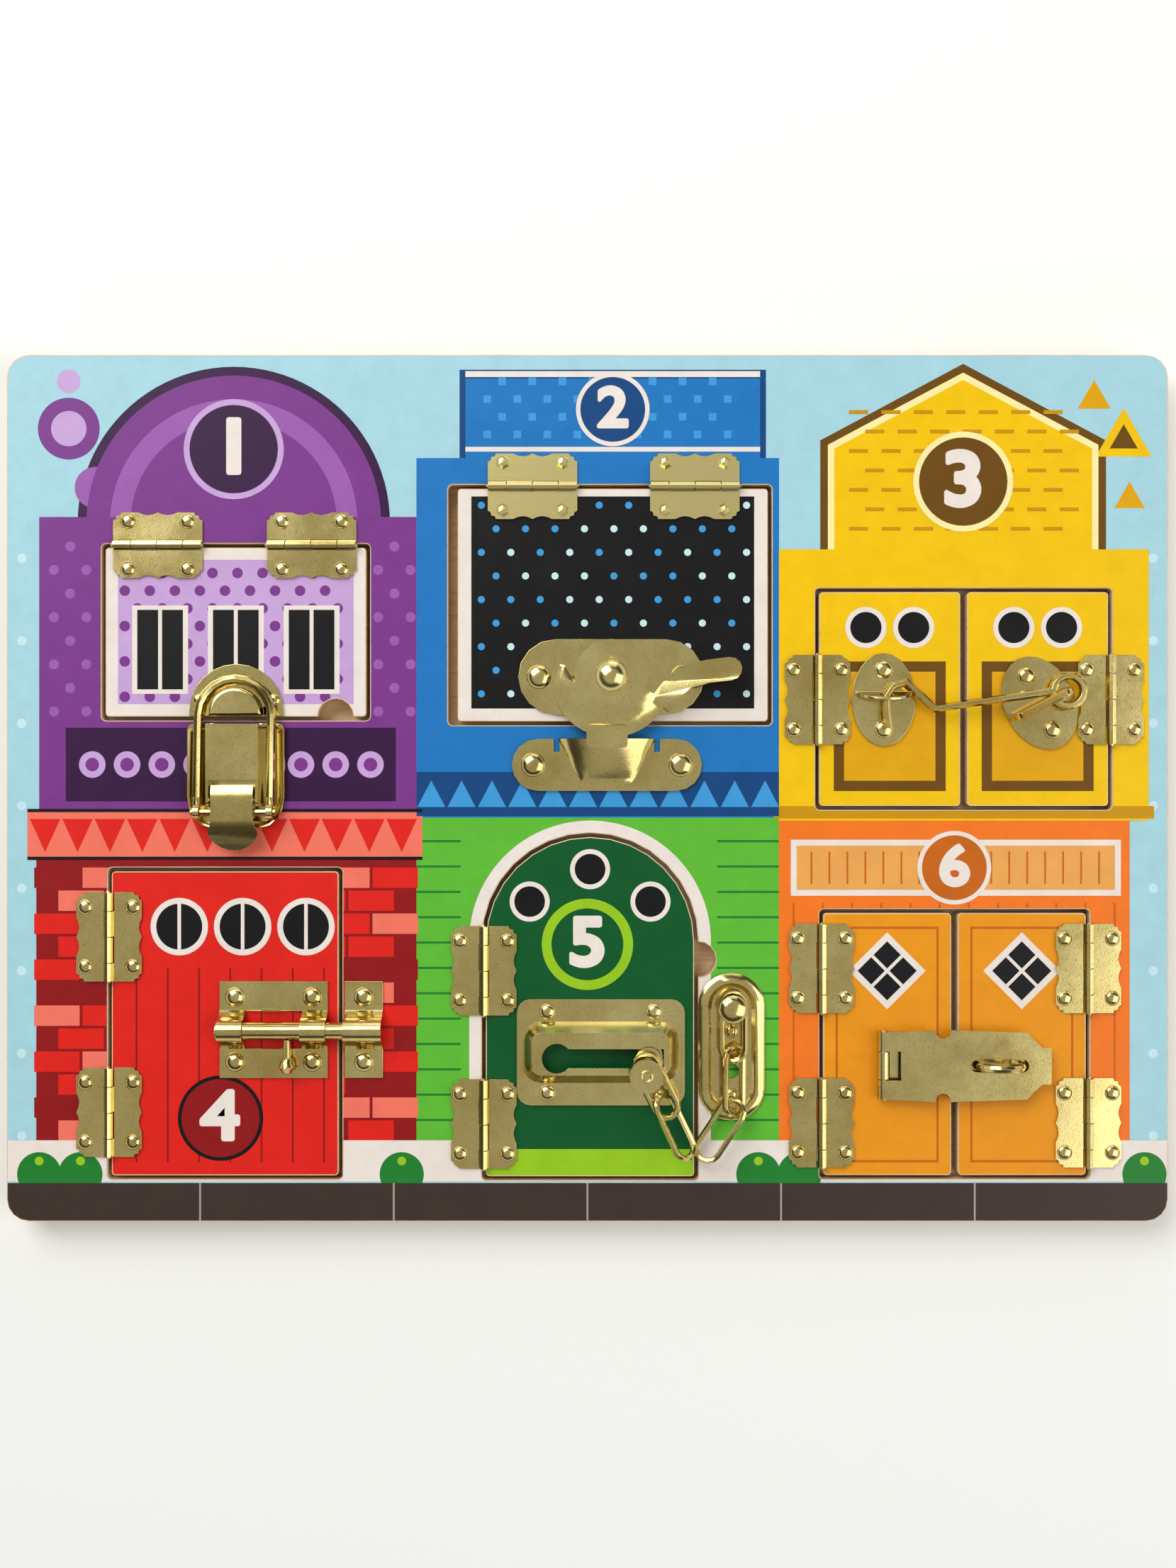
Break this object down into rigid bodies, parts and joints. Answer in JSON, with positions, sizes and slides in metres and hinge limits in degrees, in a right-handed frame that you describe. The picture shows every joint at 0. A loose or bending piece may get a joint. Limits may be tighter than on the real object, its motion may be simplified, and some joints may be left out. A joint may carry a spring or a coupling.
{
  "type": "latches busy board",
  "caption": "Flat wooden busy board with small hinged doors, each held by a different brass catch: draw catch, sash lock, hook, bolt, chain and hasp.",
  "frame": {"origin": "middle of the board's back face", "axes": "+Z out of the printed front, +X to the picture's right, +Y to the picture's top"},
  "size_m": [0.394, 0.294, 0.0252],
  "materials": {
    "brass_plate": "bright plated steel",
    "printed_board": "gloss print on wood panel",
    "back_wood": "bare wood panel",
    "door_violet": "gloss print on wood panel",
    "door_white": "gloss print on wood panel",
    "door_yellow": "gloss print on wood panel",
    "door_red": "gloss print on wood panel",
    "door_green": "gloss print on wood panel",
    "door_orange": "gloss print on wood panel"
  },
  "bodies": {
    "board": {"back_board": "back_wood", "front_frame": "printed_board", "hinge_1_left_fixed": "brass_plate", "hinge_1_right_fixed": "brass_plate", "hinge_3_left_fixed": "brass_plate", "hinge_3_right_fixed": "brass_plate", "hinge_4_lower_fixed": "brass_plate", "hinge_4_upper_fixed": "brass_plate", "hinge_5_lower_fixed": "brass_plate", "hinge_5_upper_fixed": "brass_plate", "hinge_6_left_lower_fixed": "brass_plate", "hinge_6_left_upper_fixed": "brass_plate", "hinge_6_right_lower_fixed": "brass_plate", "hinge_6_right_upper_fixed": "brass_plate", "catch_base": "brass_plate", "sash_keeper": "brass_plate", "bolt_keeper": "brass_plate", "chain_anchor": "brass_plate"},
    "door_1": {"door_1": "door_violet", "hinge_1_left_moving": "brass_plate", "hinge_1_right_moving": "brass_plate", "catch_strike": "brass_plate"},
    "catch_lever": {"catch_lever": "brass_plate"},
    "catch_bail": {"catch_bail": "brass_plate"},
    "door_2": {"door_2": "door_white", "sash_plate": "brass_plate"},
    "sash_cam": {"sash_cam": "brass_plate"},
    "door_3_left": {"door_3_left": "door_yellow", "hinge_3_left_moving": "brass_plate", "hook_plate": "brass_plate"},
    "door_3_right": {"door_3_right": "door_yellow", "hinge_3_right_moving": "brass_plate", "hook_eye_plate": "brass_plate"},
    "hook": {"hook": "brass_plate"},
    "door_4": {"door_4": "door_red", "hinge_4_upper_moving": "brass_plate", "hinge_4_lower_moving": "brass_plate", "bolt_plate": "brass_plate"},
    "bolt_rod": {"bolt_rod": "brass_plate"},
    "bolt_knob": {"bolt_knob": "brass_plate"},
    "door_5": {"door_5": "door_green", "hinge_5_upper_moving": "brass_plate", "hinge_5_lower_moving": "brass_plate", "chain_slot_plate": "brass_plate"},
    "chain_slug": {"chain_slug": "brass_plate"},
    "chain_link_a": {"chain_link_a": "brass_plate"},
    "chain_link_b": {"chain_link_b": "brass_plate"},
    "chain_link_c": {"chain_link_c": "brass_plate"},
    "chain_link_d": {"chain_link_d": "brass_plate"},
    "chain_link_e": {"chain_link_e": "brass_plate"},
    "door_6_left": {"door_6_left": "door_orange", "hinge_6_left_upper_moving": "brass_plate", "hinge_6_left_lower_moving": "brass_plate", "hasp_base": "brass_plate"},
    "hasp_strap": {"hasp_strap": "brass_plate"},
    "door_6_right": {"door_6_right": "door_orange", "hinge_6_right_upper_moving": "brass_plate", "hinge_6_right_lower_moving": "brass_plate", "hasp_staple": "brass_plate"}
  },
  "joints": [
    {"name": "door_1_hinge", "type": "hinge", "parent": "board", "child": "door_1", "pos_m": [-0.1193, 0.0823, 0.0138], "axis": [1, 0, 0], "range_deg": [-110, 0]},
    {"name": "catch_lever_pivot", "type": "hinge", "parent": "board", "child": "catch_lever", "pos_m": [-0.11891, -0.0042, 0.0189], "axis": [1, 0, 0], "range_deg": [-78, 0]},
    {"name": "catch_bail_pivot", "type": "hinge", "parent": "catch_lever", "child": "catch_bail", "pos_m": [-0.11891, -0.0081, 0.0189], "axis": [1, 0, 0], "range_deg": [0, 254]},
    {"name": "door_2_hinge", "type": "hinge", "parent": "board", "child": "door_2", "pos_m": [0.00859, 0.10229, 0.0138], "axis": [1, 0, 0], "range_deg": [-110, 0]},
    {"name": "sash_cam_pivot", "type": "hinge", "parent": "door_2", "child": "sash_cam", "pos_m": [0.008, 0.03769, 0.0156], "axis": [0, 0, 1], "range_deg": [0, 160]},
    {"name": "door_3_right_hinge", "type": "hinge", "parent": "board", "child": "door_3_right", "pos_m": [0.17739, 0.03025, 0.0138], "axis": [0, 1, 0], "range_deg": [0, 110]},
    {"name": "door_3_left_hinge", "type": "hinge", "parent": "board", "child": "door_3_left", "pos_m": [0.078, 0.03025, 0.0138], "axis": [0, 1, 0], "range_deg": [-110, 0]},
    {"name": "hook_swing", "type": "hinge", "parent": "door_3_right", "child": "hook", "pos_m": [0.1618, 0.0328, 0.0172], "axis": [0, 0, 1], "range_deg": [-110, 0]},
    {"name": "door_4_hinge", "type": "hinge", "parent": "board", "child": "door_4", "pos_m": [-0.1621, -0.07985, 0.0138], "axis": [0, 1, 0], "range_deg": [-125, 0]},
    {"name": "bolt_slide", "type": "slide", "parent": "door_4", "child": "bolt_rod", "axis": [1, 0, 0], "range_m": [-0.0124, 0]},
    {"name": "bolt_knob_turn", "type": "hinge", "parent": "bolt_rod", "child": "bolt_knob", "pos_m": [-0.10119, -0.08179, 0.0164], "axis": [1, 0, 0], "range_deg": [-90, 0]},
    {"name": "door_5_hinge", "type": "hinge", "parent": "board", "child": "door_5", "pos_m": [-0.03512, -0.07415, 0.0138], "axis": [0, 1, 0], "range_deg": [-125, 0]},
    {"name": "chain_slide", "type": "slide", "parent": "door_5", "child": "chain_slug", "axis": [1, 0, 0], "range_m": [-0.0313, 0]},
    {"name": "chain_link_e_swing", "type": "hinge", "parent": "chain_slug", "child": "chain_link_e", "pos_m": [0.02021, -0.09355, 0.0212], "axis": [0, 0, 1], "range_deg": [-12, 12]},
    {"name": "chain_link_d_swing", "type": "hinge", "parent": "chain_link_e", "child": "chain_link_d", "pos_m": [0.02635, -0.10638, 0.02076], "axis": [0, 0, 1], "range_deg": [-12, 15]},
    {"name": "chain_link_a_swing", "type": "hinge", "parent": "board", "child": "chain_link_a", "pos_m": [0.04879, -0.07409, 0.0176], "axis": [0, 0, 1], "range_deg": [-4, 2]},
    {"name": "chain_link_b_swing", "type": "hinge", "parent": "chain_link_a", "child": "chain_link_b", "pos_m": [0.04906, -0.08777, 0.01767], "axis": [0, 0, 1], "range_deg": [-4, 7]},
    {"name": "chain_link_c_swing", "type": "hinge", "parent": "chain_link_b", "child": "chain_link_c", "pos_m": [0.04932, -0.10602, 0.01804], "axis": [0, 0, 1], "range_deg": [-4, 15]},
    {"name": "door_6_left_hinge", "type": "hinge", "parent": "board", "child": "door_6_left", "pos_m": [0.07938, -0.08686, 0.0138], "axis": [0, 1, 0], "range_deg": [-125, 0]},
    {"name": "door_6_right_hinge", "type": "hinge", "parent": "board", "child": "door_6_right", "pos_m": [0.16978, -0.08686, 0.0138], "axis": [0, 1, 0], "range_deg": [0, 100]},
    {"name": "hasp_strap_hinge", "type": "hinge", "parent": "door_6_left", "child": "hasp_strap", "pos_m": [0.10008, -0.09361, 0.0145], "axis": [0, 1, 0], "range_deg": [-165, 0]}
  ],
  "couplings": [
    {"joint": "catch_lever_pivot", "follows": "door_1_hinge", "ratio": 0.709},
    {"joint": "catch_bail_pivot", "follows": "door_1_hinge", "ratio": -2.309},
    {"joint": "door_3_left_hinge", "follows": "door_3_right_hinge", "ratio": -1},
    {"joint": "hasp_strap_hinge", "follows": "door_6_right_hinge", "ratio": -1.65}
  ]
}
